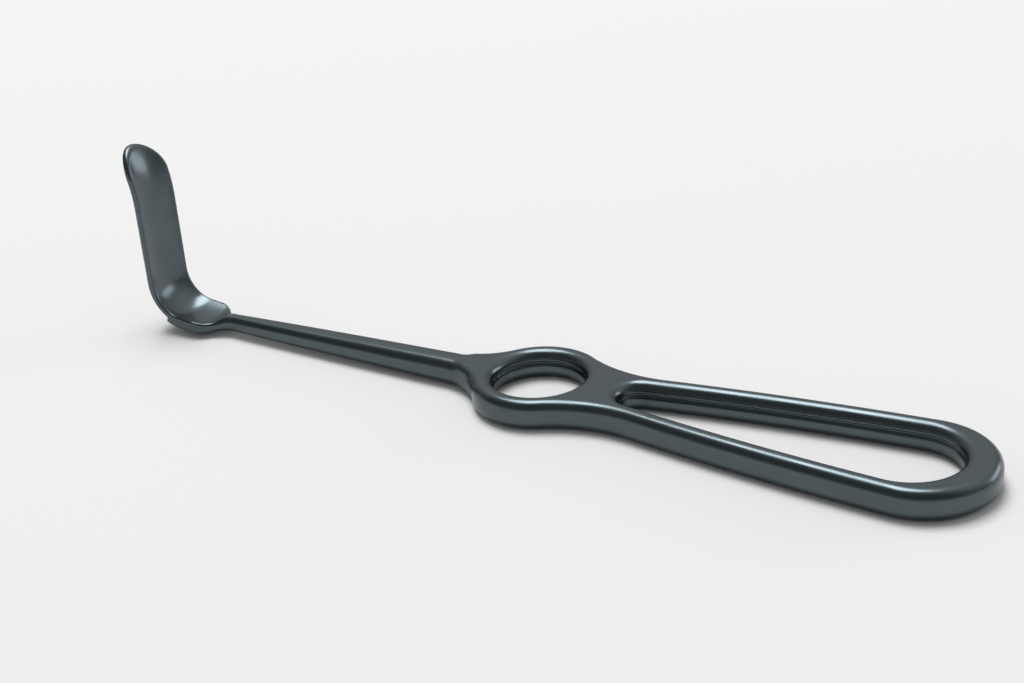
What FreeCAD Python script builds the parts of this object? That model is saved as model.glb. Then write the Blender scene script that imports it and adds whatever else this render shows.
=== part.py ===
"""Hand-held retractor: a one-piece forged instrument with a loop handle, a finger ring,
a tapered shaft and a right-angled trough-shaped blade.

Frame: origin on the finger ring's axis, halfway through the plate's thickness. +Z is up, the
blade stands up along +Z, +X runs from the ring to the loop's round end, and the part is
symmetric about the XZ plane. Millimetres and degrees.
"""

import FreeCAD, Part
import math
import os

import Sketcher
from FreeCAD import Vector

NODE = "retractor"
Z_AXIS = Vector(0, 0, 1)
CLOSE = 1e-3

# The sketcher's numbers for a curve's ends and centre, and for the sketch's own axes.
START, FINISH, CENTRE = range(1, 4)
ACROSS, UP = range(-1, -3, -1)

# The dimensions that can be set, one row of the sheet each: alias, value, what it is.
SIZES = {
    "plate_thickness": (7.0, "thickness of the ring and of the loop"),
    "rim_radius": (2.2, "rounding of the upper edges of the ring and the loop"),
    "underside_bevel": (1.6, "bevel of their lower edges"),
    "ring_hole_radius": (10.5, "finger hole"),
    "ring_wall": (4.9, "width of the ring's bar"),
    "web_length": (10.2, "finger hole to the loop's opening"),
    "yoke_radius": (31.6, "hollow curve between the ring and a leg"),
    "loop_reach": (104.5, "ring axis to the far end of the loop"),
    "loop_end_radius": (16.2, "outside of the loop's round end"),
    "loop_end_wall": (7.6, "bar width at the loop's far end"),
    "leg_width": (4.8, "bar width of a leg"),
    "leg_splay": (3.4, "angle of a leg's outer edge where it meets the round end"),
    "leg_bow_radius": (640.0, "large radius of the legs' gentle outward bow"),
    "parting_height": (0.8, "parting crease above the middle of the plate"),
    "parting_width": (0.6, "width of the crease inside the ring and the loop"),
    "parting_depth": (0.3, "depth of the crease"),
    "root_station": (25.0, "ring axis to the root of the shaft"),
    "root_width": (7.0, "shaft width at its root"),
    "shoulder_radius": (15.0, "hollow curve between the shaft and the ring"),
    "mid_station": (55.0, "ring axis to the shaft's middle section"),
    "mid_width": (6.0, "shaft width there"),
    "mid_thickness": (5.4, "shaft thickness there"),
    "mid_corner": (1.9, "corner rounding there"),
    "mid_drop": (0.1, "middle of that section below the middle of the plate"),
    "neck_station": (88.5, "ring axis to the neck"),
    "neck_width": (4.2, "shaft width at the neck"),
    "neck_thickness": (4.2, "shaft thickness at the neck"),
    "neck_corner": (1.3, "corner rounding at the neck"),
    "neck_drop": (0.3, "middle of the neck below the middle of the plate"),
    "flare_length": (4.0, "neck to the section where the shoulders spread"),
    "flare_width": (6.8, "width of that section"),
    "flare_thickness": (3.9, "thickness of that section"),
    "flare_corner": (1.2, "corner rounding of that section"),
    "shoulder_length": (8.0, "neck to the full width of the foot"),
    "foot_depth": (2.25, "middle of the plate to the foot's underside at the shoulders"),
    "blade_width": (13.3, "width of the foot and the blade"),
    "blade_thickness": (1.9, "thickness of the blade's wall"),
    "trough_radius": (16.0, "hollow of the blade across its width"),
    "blade_edge_radius": (0.8, "rounding of the blade's long edges"),
    "foot_tilt": (6.0, "rise of the foot toward the heel"),
    "foot_length": (5.8, "straight foot before the heel"),
    "heel_radius": (10.0, "bend of the heel, at the middle of the wall"),
    "heel_pad_angle": (24.0, "how far the foot's flat underside follows the heel's bend"),
    "blade_angle": (90.0, "angle between the handle's plane and the blade"),
    "blade_length": (19.9, "straight run of the blade above the heel"),
    "lip_radius": (30.0, "backward curve of the lip at the tip"),
    "lip_angle": (32.0, "turn of the lip"),
    "tip_height": (43.4, "middle of the plate to the top of the tip"),
    "tip_radius": (6.75, "round of the tip seen along the handle"),
    "tip_edge_radius": (0.5, "rounding of the tip's edges"),
}

# What follows from them, as formulas in the same sheet.
DERIVED = {
    "ring_outer_radius": ("ring_hole_radius + ring_wall", "outside of the ring"),
    "opening_start": ("ring_hole_radius + web_length", "ring axis to the loop's opening"),
    "opening_end": ("loop_reach - loop_end_wall", "ring axis to the opening's far end"),
    "leg_centre_x": (
        "loop_reach - loop_end_radius + (leg_bow_radius - loop_end_radius) * sin(leg_splay * 1 deg)",
        "centre of a leg's bow, along the handle",
    ),
    "leg_centre_y": (
        "(leg_bow_radius - loop_end_radius) * cos(leg_splay * 1 deg)",
        "centre of a leg's bow, across the handle",
    ),
    "opening_bow_radius": ("leg_bow_radius - leg_width", "bow of the opening's long sides"),
    "opening_small_radius": (
        "(opening_bow_radius^2 - leg_centre_y^2 - (leg_centre_x - opening_start)^2)"
        " / (2 * (opening_bow_radius - leg_centre_x + opening_start))",
        "narrow end of the opening, tangent to its sides",
    ),
    "opening_large_radius": (
        "(opening_bow_radius^2 - leg_centre_y^2 - (leg_centre_x - opening_end)^2)"
        " / (2 * (opening_bow_radius + leg_centre_x - opening_end))",
        "wide end of the opening, tangent to its sides",
    ),
    "foot_station": ("neck_station + shoulder_length", "ring axis to the foot's full width"),
    "trough_centre": ("trough_radius + blade_thickness - foot_depth", "height of the trough's centre"),
    "wall_depth": ("foot_depth - blade_thickness / 2", "middle of the plate to the middle of the wall"),
    "heel_angle": ("blade_angle - foot_tilt", "turn of the heel from the foot to the blade"),
    "blade_reach": (
        "heel_radius + foot_length + blade_length + lip_radius",
        "height that the blade stays under before its tip is cut",
    ),
}
size = {alias: value for alias, (value, _) in SIZES.items()}


def make_sheet(doc):
    """Write the sheet, then read back what its formulas give."""
    sheet = doc.addObject("Spreadsheet::Sheet", "Sizes")
    rows = [(alias, str(value), meaning) for alias, (value, meaning) in SIZES.items()]
    rows += [(alias, f"={formula}", meaning) for alias, (formula, meaning) in DERIVED.items()]
    for row, (alias, content, meaning) in enumerate(rows, start=1):
        sheet.set(f"A{row}", alias)
        sheet.set(f"B{row}", content)
        sheet.set(f"C{row}", meaning)
        sheet.setAlias(f"B{row}", alias)
    doc.recompute()
    for alias in DERIVED:
        size[alias] = float(sheet.get(alias))


def add_sketch(body, name, plane_role, shift=None):
    """A sketch on one of the body's own planes, moved along its normal by an expression."""
    sketch = body.newObject("Sketcher::SketchObject", name)
    plane = next(item for item in body.Origin.OriginFeatures if item.Role == plane_role)
    sketch.AttachmentSupport = [(plane, "")]
    sketch.MapMode = "FlatFace"
    if shift:
        sketch.setExpression("AttachmentOffset.Base.z", shift)
    return sketch


def limit(sketch, *constraint):
    sketch.addConstraint(Sketcher.Constraint(*constraint))


def drive(sketch, expression, *constraint):
    """Add a dimension and bind it to the sheet."""
    index = sketch.addConstraint(Sketcher.Constraint(*constraint))
    sketch.setExpression(f"Constraints[{index}]", expression)


def smooth(sketch, joins):
    """Make curves run on into each other, given as pairs of curve and end."""
    for one, one_end, other, other_end in joins:
        limit(sketch, "Tangent", one, one_end, other, other_end)


def arc(centre, radius, start, end):
    """An arc that runs counter-clockwise between two points seen from its centre."""
    turn = [math.atan2(point[1] - centre[1], point[0] - centre[0]) for point in (start, end)]
    return Part.ArcOfCircle(Part.Circle(Vector(*centre, 0), Z_AXIS, radius), *turn)


def line(start, end):
    return Part.LineSegment(Vector(*start, 0), Vector(*end, 0))


def mirrored(point):
    return (point[0], -point[1])


def toward(start, end, distance):
    """The point at a distance from start, on the way to end."""
    run = math.dist(start, end)
    return tuple(a + (b - a) * distance / run for a, b in zip(start, end))


def meet(first, first_radius, second, second_radius, side):
    """Where two circles meet, on the left (1) or the right (-1) of the way between centres."""
    gap = math.dist(first, second)
    along = (gap**2 + first_radius**2 - second_radius**2) / (2 * gap)
    across = side * math.sqrt(first_radius**2 - along**2)
    way = ((second[0] - first[0]) / gap, (second[1] - first[1]) / gap)
    return (
        first[0] + along * way[0] - across * way[1],
        first[1] + along * way[1] + across * way[0],
    )


def draw_outline(sketch):
    """The handle's outer outline: shaft stub, ring, hollow yoke curves, bowed legs, round end."""
    ring, end_radius = size["ring_outer_radius"], size["loop_end_radius"]
    half_root, hollow = size["root_width"] / 2, size["shoulder_radius"]
    yoke, bow = size["yoke_radius"], size["leg_bow_radius"]
    origin = (0.0, 0.0)
    end = (size["loop_reach"] - end_radius, 0.0)
    leg = (size["leg_centre_x"], -size["leg_centre_y"])
    waist = meet(origin, ring + yoke, leg, bow + yoke, 1)
    shoulder_y = half_root + hollow
    shoulder = (-math.sqrt((ring + hollow) ** 2 - shoulder_y**2), shoulder_y)

    stub_top, stub_join = (-size["root_station"], half_root), (shoulder[0], half_root)
    ring_start, ring_end = toward(origin, shoulder, ring), toward(origin, waist, ring)
    leg_start, leg_end = toward(leg, waist, bow), toward(leg, end, bow)
    upper = [
        line(stub_top, stub_join),
        arc(shoulder, hollow, stub_join, ring_start),
        arc(origin, ring, ring_end, ring_start),
        arc(waist, yoke, ring_end, leg_start),
        arc(leg, bow, leg_end, leg_start),
    ]
    lower = [
        line(mirrored(stub_top), mirrored(stub_join)),
        arc(mirrored(shoulder), hollow, mirrored(ring_start), mirrored(stub_join)),
        arc(origin, ring, mirrored(ring_start), mirrored(ring_end)),
        arc(mirrored(waist), yoke, mirrored(leg_start), mirrored(ring_end)),
        arc(mirrored(leg), bow, mirrored(leg_start), mirrored(leg_end)),
    ]
    tail = arc(end, end_radius, mirrored(leg_end), leg_end)
    stub_end = line(mirrored(stub_top), stub_top)
    sketch.addGeometry(upper + lower + [tail, stub_end], False)
    bind_outline(sketch, end[0])


def bind_outline(sketch, end_x):
    """Tie the outline's curves to each other and to the sheet. The last two are tail and stub."""
    stub = sketch.GeometryCount - 1
    tail = stub - 1
    smooth(
        sketch,
        [
            (0, FINISH, 1, START), (1, FINISH, 2, FINISH), (2, START, 3, START), (3, FINISH, 4, FINISH),
            (5, FINISH, 6, FINISH), (6, START, 7, START), (7, FINISH, 8, FINISH), (8, START, 9, START),
            (4, START, tail, FINISH), (9, FINISH, tail, START),
        ],
    )
    limit(sketch, "Coincident", stub, FINISH, 0, START)
    limit(sketch, "Coincident", stub, START, 5, START)
    for level in (0, 5):
        limit(sketch, "Horizontal", level)
    for ring_side in (2, 7):
        limit(sketch, "Coincident", ring_side, CENTRE, ACROSS, START)
    for one, other in ((1, 6), (2, 7), (3, 8), (4, 9)):
        limit(sketch, "Equal", one, other)
    limit(sketch, "Symmetric", stub, START, stub, FINISH, ACROSS)
    limit(sketch, "Symmetric", 4, START, 9, FINISH, ACROSS)
    drive(sketch, "Sizes.ring_outer_radius", "Radius", 2, size["ring_outer_radius"])
    drive(sketch, "Sizes.shoulder_radius", "Radius", 1, size["shoulder_radius"])
    drive(sketch, "Sizes.yoke_radius", "Radius", 3, size["yoke_radius"])
    drive(sketch, "Sizes.leg_bow_radius", "Radius", 4, size["leg_bow_radius"])
    drive(sketch, "Sizes.loop_end_radius", "Radius", tail, size["loop_end_radius"])
    drive(sketch, "Sizes.root_width", "DistanceY", stub, START, stub, FINISH, size["root_width"])
    drive(
        sketch, "Sizes.root_station",
        "DistanceX", stub, FINISH, ACROSS, START, size["root_station"],
    )
    drive(
        sketch, "Sizes.loop_reach - Sizes.loop_end_radius",
        "DistanceX", ACROSS, START, tail, CENTRE, end_x,
    )
    drive(
        sketch, "Sizes.loop_end_radius * sin(Sizes.leg_splay * 1 deg)",
        "DistanceX", tail, FINISH, tail, CENTRE,
        size["loop_end_radius"] * math.sin(math.radians(size["leg_splay"])),
    )


def draw_openings(sketch, growth=None):
    """The finger hole and the loop's opening, grown by a named size for the parting crease."""
    grow, more = (size[growth], f" + Sizes.{growth}") if growth else (0.0, "")
    hole = size["ring_hole_radius"] + grow
    small, large = size["opening_small_radius"] + grow, size["opening_large_radius"] + grow
    bow = size["opening_bow_radius"] + grow
    near = (size["opening_start"] + size["opening_small_radius"], 0.0)
    far = (size["opening_end"] - size["opening_large_radius"], 0.0)
    leg = meet(near, bow - small, far, bow - large, -1)
    near_join, far_join = toward(leg, near, bow), toward(leg, far, bow)
    sketch.addGeometry(
        [
            Part.Circle(Vector(0, 0, 0), Z_AXIS, hole),
            arc(near, small, near_join, mirrored(near_join)),
            arc(mirrored(leg), bow, mirrored(near_join), mirrored(far_join)),
            arc(far, large, mirrored(far_join), far_join),
            arc(leg, bow, far_join, near_join),
        ],
        False,
    )
    limit(sketch, "Coincident", 0, CENTRE, ACROSS, START)
    smooth(sketch, [(one, FINISH, other, START) for one, other in ((1, 2), (2, 3), (3, 4), (4, 1))])
    for end in (1, 3):
        limit(sketch, "PointOnObject", end, CENTRE, ACROSS)
    limit(sketch, "Equal", 2, 4)
    drive(sketch, "Sizes.ring_hole_radius" + more, "Radius", 0, hole)
    drive(sketch, "Sizes.opening_small_radius" + more, "Radius", 1, small)
    drive(sketch, "Sizes.opening_large_radius" + more, "Radius", 3, large)
    drive(sketch, "Sizes.opening_bow_radius" + more, "Radius", 2, bow)
    drive(
        sketch, "Sizes.opening_start + Sizes.opening_small_radius",
        "DistanceX", ACROSS, START, 1, CENTRE, near[0],
    )
    drive(
        sketch, "Sizes.opening_end - Sizes.opening_large_radius",
        "DistanceX", ACROSS, START, 3, CENTRE, far[0],
    )


def bind_sides(sketch, width):
    """Upright sides at half a named width on each hand, and equal corners."""
    half = size[width] / 2
    for side in (3, 7):
        limit(sketch, "Vertical", side)
    for corner in (2, 4, 6):
        limit(sketch, "Equal", 0, corner)
    drive(sketch, f"Sizes.{width} / 2", "DistanceX", ACROSS, START, 7, FINISH, half)
    drive(sketch, f"Sizes.{width} / 2", "DistanceX", 3, START, ACROSS, START, half)


def draw_bar_section(sketch, bar, drop=None, width=None, thickness=None, corner=None):
    """A rounded rectangle of the shaft, its middle lower than the plate's by a named size.

    The sizes are those named after the bar's station, unless others are named.
    """
    width, thickness = width or f"{bar}_width", thickness or f"{bar}_thickness"
    corner = corner or f"{bar}_corner"
    half_w, half_t, rounding = size[width] / 2, size[thickness] / 2, size[corner]
    lower = size[drop] if drop else 0.0
    less, more = (f" - Sizes.{drop}", f" + Sizes.{drop}") if drop else ("", "")
    flat, top, low = half_w - rounding, half_t - lower, -half_t - lower
    top_flat, low_flat = top - rounding, low + rounding
    corners = [(flat, top_flat), (-flat, top_flat), (-flat, low_flat), (flat, low_flat)]
    entry = [(half_w, top_flat), (-flat, top), (-half_w, low_flat), (flat, low)]
    leave = [(flat, top), (-half_w, top_flat), (-flat, low), (half_w, low_flat)]
    geometry = []
    for index in range(4):
        geometry.append(arc(corners[index], rounding, entry[index], leave[index]))
        geometry.append(line(leave[index], entry[(index + 1) % 4]))
    sketch.addGeometry(geometry, False)
    smooth(sketch, [(index, FINISH, (index + 1) % 8, START) for index in range(8)])
    bind_sides(sketch, width)
    for level in (1, 5):
        limit(sketch, "Horizontal", level)
    drive(sketch, f"Sizes.{corner}", "Radius", 0, rounding)
    drive(sketch, f"Sizes.{thickness} / 2" + less, "DistanceY", ACROSS, START, 0, FINISH, top)
    drive(sketch, f"Sizes.{thickness} / 2" + more, "DistanceY", 4, FINISH, ACROSS, START, -low)


def draw_trough_section(sketch, flat_back):
    """The hollow section of the foot, with a flat underside, or of the blade, with a round back."""
    half_w, rounding = size["blade_width"] / 2, size["blade_edge_radius"]
    inner, outer = size["trough_radius"], size["trough_radius"] + size["blade_thickness"]
    focus = (0.0, size["trough_centre"])
    corner_y = half_w - rounding
    top = focus[1] - math.sqrt((inner + rounding) ** 2 - corner_y**2)
    floor_right = toward(focus, (corner_y, top), inner)
    floor_left = (-floor_right[0], floor_right[1])
    if flat_back:
        low = rounding - size["foot_depth"]
        back_left, back_right = (-corner_y, low - rounding), (corner_y, low - rounding)
        back = line(back_left, back_right)
    else:
        low = focus[1] - math.sqrt((outer - rounding) ** 2 - corner_y**2)
        back_right = toward(focus, (corner_y, low), outer)
        back_left = (-back_right[0], back_right[1])
        back = arc(focus, outer, back_left, back_right)
    sketch.addGeometry(
        [
            arc((corner_y, top), rounding, (half_w, top), floor_right),
            arc(focus, inner, floor_left, floor_right),
            arc((-corner_y, top), rounding, floor_left, (-half_w, top)),
            line((-half_w, top), (-half_w, low)),
            arc((-corner_y, low), rounding, (-half_w, low), back_left),
            back,
            arc((corner_y, low), rounding, back_right, (half_w, low)),
            line((half_w, low), (half_w, top)),
        ],
        False,
    )
    smooth(sketch, [(0, FINISH, 1, FINISH), (1, START, 2, START)])
    smooth(sketch, [(index, FINISH, (index + 1) % 8, START) for index in range(2, 8)])
    bind_sides(sketch, "blade_width")
    limit(sketch, "PointOnObject", 1, CENTRE, UP)
    drive(sketch, "Sizes.blade_edge_radius", "Radius", 0, rounding)
    drive(sketch, "Sizes.trough_radius", "Radius", 1, inner)
    drive(sketch, "Sizes.trough_centre", "DistanceY", ACROSS, START, 1, CENTRE, focus[1])
    if flat_back:
        limit(sketch, "Horizontal", 5)
        drive(sketch, "Sizes.foot_depth", "DistanceY", 5, START, ACROSS, START, size["foot_depth"])
    else:
        limit(sketch, "Coincident", 1, CENTRE, 5, CENTRE)
        drive(sketch, "Sizes.trough_radius + Sizes.blade_thickness", "Radius", 5, outer)


def draw_wall_path(sketch, turn, whole):
    """The middle of the blade's wall, seen from the side: the foot and a named turn of the heel.

    The whole path goes on up the blade and round the lip.
    """
    heel, tilt, bend = size["heel_radius"], math.radians(size["foot_tilt"]), math.radians(size[turn])
    start = (-size["foot_station"], -size["wall_depth"])
    reach = size["foot_length"]
    heel_start = (start[0] - reach * math.cos(tilt), start[1] + reach * math.sin(tilt))
    heel_centre = (heel_start[0] + heel * math.sin(tilt), heel_start[1] + heel * math.cos(tilt))
    slope = tilt + bend
    heel_end = (heel_centre[0] - heel * math.sin(slope), heel_centre[1] - heel * math.cos(slope))
    sketch.addGeometry([line(start, heel_start), arc(heel_centre, heel, heel_end, heel_start)], False)
    smooth(sketch, [(0, FINISH, 1, FINISH)])
    drive(sketch, "Sizes.foot_station", "DistanceX", 0, START, ACROSS, START, -start[0])
    drive(sketch, "Sizes.wall_depth", "DistanceY", 0, START, ACROSS, START, -start[1])
    drive(
        sketch, "Sizes.foot_length * cos(Sizes.foot_tilt * 1 deg)",
        "DistanceX", 0, FINISH, 0, START, reach * math.cos(tilt),
    )
    drive(
        sketch, "Sizes.foot_length * sin(Sizes.foot_tilt * 1 deg)",
        "DistanceY", 0, START, 0, FINISH, reach * math.sin(tilt),
    )
    drive(sketch, "Sizes.heel_radius", "Radius", 1, heel)
    drive(sketch, f"Sizes.{turn} * 1 deg", "Angle", 1, bend)
    if whole:
        extend_wall_path(sketch, heel_end, slope)


def extend_wall_path(sketch, heel_end, slope):
    """The straight blade and the lip that curves back, from the end of the heel."""
    length, lip, curl = size["blade_length"], size["lip_radius"], math.radians(size["lip_angle"])
    rise = (-math.cos(slope), math.sin(slope))
    blade_end = (heel_end[0] + length * rise[0], heel_end[1] + length * rise[1])
    lip_centre = (blade_end[0] - lip * rise[1], blade_end[1] + lip * rise[0])
    turn = curl + math.pi / 2 - slope
    lip_end = (lip_centre[0] + lip * math.cos(turn), lip_centre[1] + lip * math.sin(turn))
    sketch.addGeometry([line(heel_end, blade_end), arc(lip_centre, lip, blade_end, lip_end)], False)
    smooth(sketch, [(1, START, 2, START), (2, FINISH, 3, START)])
    drive(sketch, "Sizes.blade_length", "Distance", 2, length)
    drive(sketch, "Sizes.lip_radius", "Radius", 3, lip)
    drive(sketch, "Sizes.lip_angle * 1 deg", "Angle", 3, curl)


def draw_tip_cut(sketch):
    """What the rounded tip leaves out, seen along the handle: a block over a half circle."""
    radius, roof = size["tip_radius"], size["blade_reach"]
    level, side = size["tip_height"] - radius, 2 * radius
    left, right = (-radius, level), (radius, level)
    corners = [right, left, (-side, level), (-side, roof), (side, roof), (side, level)]
    walls = [line(corners[index], corners[(index + 1) % 6]) for index in range(1, 6)]
    sketch.addGeometry([arc((0.0, level), radius, right, left)] + walls, False)
    for index in range(6):
        limit(sketch, "Coincident", index, FINISH, (index + 1) % 6, START)
    for flat in (1, 3, 5):
        limit(sketch, "Horizontal", flat)
    for upright in (2, 4):
        limit(sketch, "Vertical", upright)
    limit(sketch, "PointOnObject", 0, CENTRE, UP)
    for end in (START, FINISH):
        limit(sketch, "Horizontal", 0, end, 0, CENTRE)
    drive(sketch, "Sizes.tip_radius", "Radius", 0, radius)
    drive(sketch, "Sizes.tip_height - Sizes.tip_radius", "DistanceY", ACROSS, START, 0, CENTRE, level)
    drive(sketch, "2 * Sizes.tip_radius", "DistanceX", ACROSS, START, 4, START, side)
    drive(sketch, "2 * Sizes.tip_radius", "DistanceX", 2, START, ACROSS, START, side)
    drive(sketch, "Sizes.blade_reach", "DistanceY", ACROSS, START, 4, START, roof)


def cut_through(body, name, sketch):
    """Cut a sketch's shape right through, both ways."""
    cut = body.newObject("PartDesign::Pocket", name)
    cut.Profile = sketch
    cut.Midplane = True
    cut.Type = "ThroughAll"
    body.Document.recompute()
    return cut


def round_edges(body, name, base, edges, radius):
    """Round some edges of the feature before this one to a named radius."""
    rounding = body.newObject("PartDesign::Fillet", name)
    rounding.Base = (base, [f"Edge{index}" for index in edges])
    rounding.setExpression("Radius", f"Sizes.{radius}")
    body.Document.recompute()
    return rounding


def bevel_edges(body, name, base, edges, width):
    """Bevel some edges of the feature before this one by a named size."""
    bevel = body.newObject("PartDesign::Chamfer", name)
    bevel.Base = (base, [f"Edge{index}" for index in edges])
    bevel.setExpression("Size", f"Sizes.{width}")
    body.Document.recompute()
    return bevel


def blend(body, name, sections, straight=False):
    """A solid through a row of sections, smooth or with straight runs between them."""
    loft = body.newObject("PartDesign::AdditiveLoft", name)
    loft.Profile, loft.Sections = sections[0], sections[1:]
    loft.Ruled = straight
    body.Document.recompute()
    return loft


def sweep(body, name, section, path):
    """A section carried along a path in the XZ plane, without twist."""
    pipe = body.newObject("PartDesign::AdditivePipe", name)
    pipe.Profile, pipe.Spine = section, (path, [])
    pipe.Mode, pipe.Binormal = "Binormal", Vector(0, 1, 0)
    body.Document.recompute()
    return pipe


def rim_edges(shape, level):
    """Edges of the plate's face at a level, apart from the shaft stub's end."""
    stub = -size["root_station"]
    found = []
    for index, edge in enumerate(shape.Edges, start=1):
        box = edge.BoundBox
        on_face = abs(box.ZMin - level) < CLOSE and box.ZLength < CLOSE
        if on_face and box.XMax > stub + CLOSE:
            found.append(index)
    return found


def tip_edges(shape):
    """Edges that the tip's round cut left on the blade."""
    radius = size["tip_radius"]
    level = size["tip_height"] - radius
    found = []
    for index, edge in enumerate(shape.Edges, start=1):
        points = edge.discretize(5)
        if all(p.z > level and abs(math.hypot(p.y, p.z - level) - radius) < CLOSE for p in points):
            found.append(index)
    return found


def make_handle(body):
    """The flat forged plate of the ring and the loop, with softened rims and its parting crease."""
    outline = add_sketch(body, "HandleOutline", "XY_Plane")
    draw_outline(outline)
    plate = body.newObject("PartDesign::Pad", "HandlePlate")
    plate.Profile = outline
    plate.Midplane = True
    plate.setExpression("Length", "Sizes.plate_thickness")

    openings = add_sketch(body, "HandleOpenings", "XY_Plane")
    draw_openings(openings)
    holes = cut_through(body, "HandleHoles", openings)
    face = size["plate_thickness"] / 2
    rims = round_edges(body, "RoundedRims", holes, rim_edges(holes.Shape, face), "rim_radius")
    bevel_edges(body, "UndersideBevel", rims, rim_edges(rims.Shape, -face), "underside_bevel")

    crease = add_sketch(body, "PartingCrease", "XY_Plane", "Sizes.parting_height")
    draw_openings(crease, "parting_depth")
    groove = body.newObject("PartDesign::Pocket", "PartingLine")
    groove.Profile = crease
    groove.Midplane = True
    groove.setExpression("Length", "Sizes.parting_width")
    body.Document.recompute()


def make_shaft(body):
    """The tapered shaft, from the ring to the neck."""
    root = add_sketch(body, "ShaftRoot", "YZ_Plane", "-Sizes.root_station")
    draw_bar_section(root, "root", thickness="plate_thickness", corner="rim_radius")
    middle = add_sketch(body, "ShaftMiddle", "YZ_Plane", "-Sizes.mid_station")
    draw_bar_section(middle, "mid", "mid_drop")
    neck = add_sketch(body, "ShaftNeck", "YZ_Plane", "-Sizes.neck_station")
    draw_bar_section(neck, "neck", "neck_drop")
    blend(body, "Shaft", [root, middle, neck], straight=True)


def make_shoulders(body):
    """The shoulders, where the neck spreads into the foot's full width."""
    neck = add_sketch(body, "NeckSection", "YZ_Plane", "-Sizes.neck_station")
    draw_bar_section(neck, "neck", "neck_drop")
    flare = add_sketch(body, "FlareSection", "YZ_Plane", "-Sizes.neck_station - Sizes.flare_length")
    draw_bar_section(flare, "flare", "neck_drop")
    foot = add_sketch(body, "FootSection", "YZ_Plane", "-Sizes.foot_station")
    draw_trough_section(foot, flat_back=True)
    blend(body, "Shoulders", [neck, flare, foot])


def make_blade(body):
    """The foot's flat-bottomed pad and the trough-shaped blade with its rounded tip."""
    pad_section = add_sketch(body, "HeelPadSection", "YZ_Plane", "-Sizes.foot_station")
    draw_trough_section(pad_section, flat_back=True)
    pad_path = add_sketch(body, "HeelPadPath", "XZ_Plane")
    draw_wall_path(pad_path, "heel_pad_angle", whole=False)
    sweep(body, "HeelPad", pad_section, pad_path)

    section = add_sketch(body, "BladeSection", "YZ_Plane", "-Sizes.foot_station")
    draw_trough_section(section, flat_back=False)
    path = add_sketch(body, "BladePath", "XZ_Plane")
    draw_wall_path(path, "heel_angle", whole=True)
    sweep(body, "Blade", section, path)

    tip = add_sketch(body, "TipOutline", "YZ_Plane")
    draw_tip_cut(tip)
    trimmed = cut_through(body, "RoundTip", tip)
    round_edges(body, "SoftTip", trimmed, tip_edges(trimmed.Shape), "tip_edge_radius")


def check(doc, shape):
    """Stop with the names of what failed, so that no half-built part is written."""
    failed = [item.Name for item in doc.Objects if {"Invalid", "Error"} & set(item.State)]
    if failed:
        raise RuntimeError(f"features not built: {', '.join(failed)}")
    if shape.isNull() or not shape.isValid() or len(shape.Solids) != 1:
        raise RuntimeError("the part isn't one valid solid")


def main():
    doc = FreeCAD.newDocument("Retractor")
    make_sheet(doc)
    body = doc.addObject("PartDesign::Body", "Retractor")
    body.Label = NODE
    make_handle(body)
    make_shaft(body)
    make_shoulders(body)
    make_blade(body)
    doc.recompute()
    check(doc, body.Shape)
    os.makedirs("parts", exist_ok=True)
    body.Shape.exportStep(os.path.join("parts", f"{NODE}.step"))


main()
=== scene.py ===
"""Looks for a one-piece hand-held retractor: satin steel skin, studio floor, lamps and camera.

The skin is one implicit surface. Its sizes are the CAD's, apart from its softer edges, its deeper
crease and its slightly taller tip, which hand grinding and polishing leave on a forging. Its maths
is in millimetres, its mesh in metres.
"""

import math

import bpy
import numpy as np
from bpy.props import FloatProperty, FloatVectorProperty, PointerProperty
from mathutils import Matrix, Vector


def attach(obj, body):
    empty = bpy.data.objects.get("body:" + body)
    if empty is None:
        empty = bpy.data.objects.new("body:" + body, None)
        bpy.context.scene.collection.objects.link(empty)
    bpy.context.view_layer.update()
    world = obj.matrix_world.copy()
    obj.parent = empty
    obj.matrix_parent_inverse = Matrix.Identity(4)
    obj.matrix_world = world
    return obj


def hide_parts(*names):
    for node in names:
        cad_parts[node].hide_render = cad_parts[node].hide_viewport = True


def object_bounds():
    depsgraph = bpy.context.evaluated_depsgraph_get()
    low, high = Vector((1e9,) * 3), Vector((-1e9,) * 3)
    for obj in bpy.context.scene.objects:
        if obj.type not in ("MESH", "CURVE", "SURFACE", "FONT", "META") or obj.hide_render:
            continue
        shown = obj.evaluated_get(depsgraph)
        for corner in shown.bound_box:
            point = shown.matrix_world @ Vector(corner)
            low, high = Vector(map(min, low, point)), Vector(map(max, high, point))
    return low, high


bl_info = {
    "name": "Forged Retractor",
    "version": (1, 0, 0),
    "blender": (4, 5, 0),
    "location": "3D View > Sidebar > Retractor",
    "description": "Builds a one-piece hand-held retractor in satin steel and a plain studio",
    "category": "Add Mesh",
}

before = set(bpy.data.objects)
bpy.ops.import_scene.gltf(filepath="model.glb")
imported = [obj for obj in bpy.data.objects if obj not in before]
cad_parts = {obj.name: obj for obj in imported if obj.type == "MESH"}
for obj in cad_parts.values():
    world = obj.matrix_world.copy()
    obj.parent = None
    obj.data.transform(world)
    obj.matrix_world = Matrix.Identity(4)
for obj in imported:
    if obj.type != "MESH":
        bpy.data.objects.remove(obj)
CAD_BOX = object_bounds()
NODE = "retractor"
MM = 0.001

# The mesher's own numbers. Lengths are in millimetres.
OUTSIDE = 9.0  # stands for any distance well outside the steel
ON_THE_LINE = 1e-6  # slack for a point on the line between two arcs
MARGIN = 1.5  # empty space round the part in the grid
SLAB = 24  # grid rows that are sampled at a time
HANDLE_START = 2.0  # past the neck, where the grid needs only the plate's height
PULLS = 4  # how often each point is pulled onto the surface
PULL_REACH = 0.02  # reach of the slope that a point is pulled along
PULL_LIMIT = 0.3  # longest pull
FLATTEST = 0.05  # least squared slope that a pull divides by
NORMAL_REACH = 0.08  # reach of the slope that gives the normals

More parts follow.
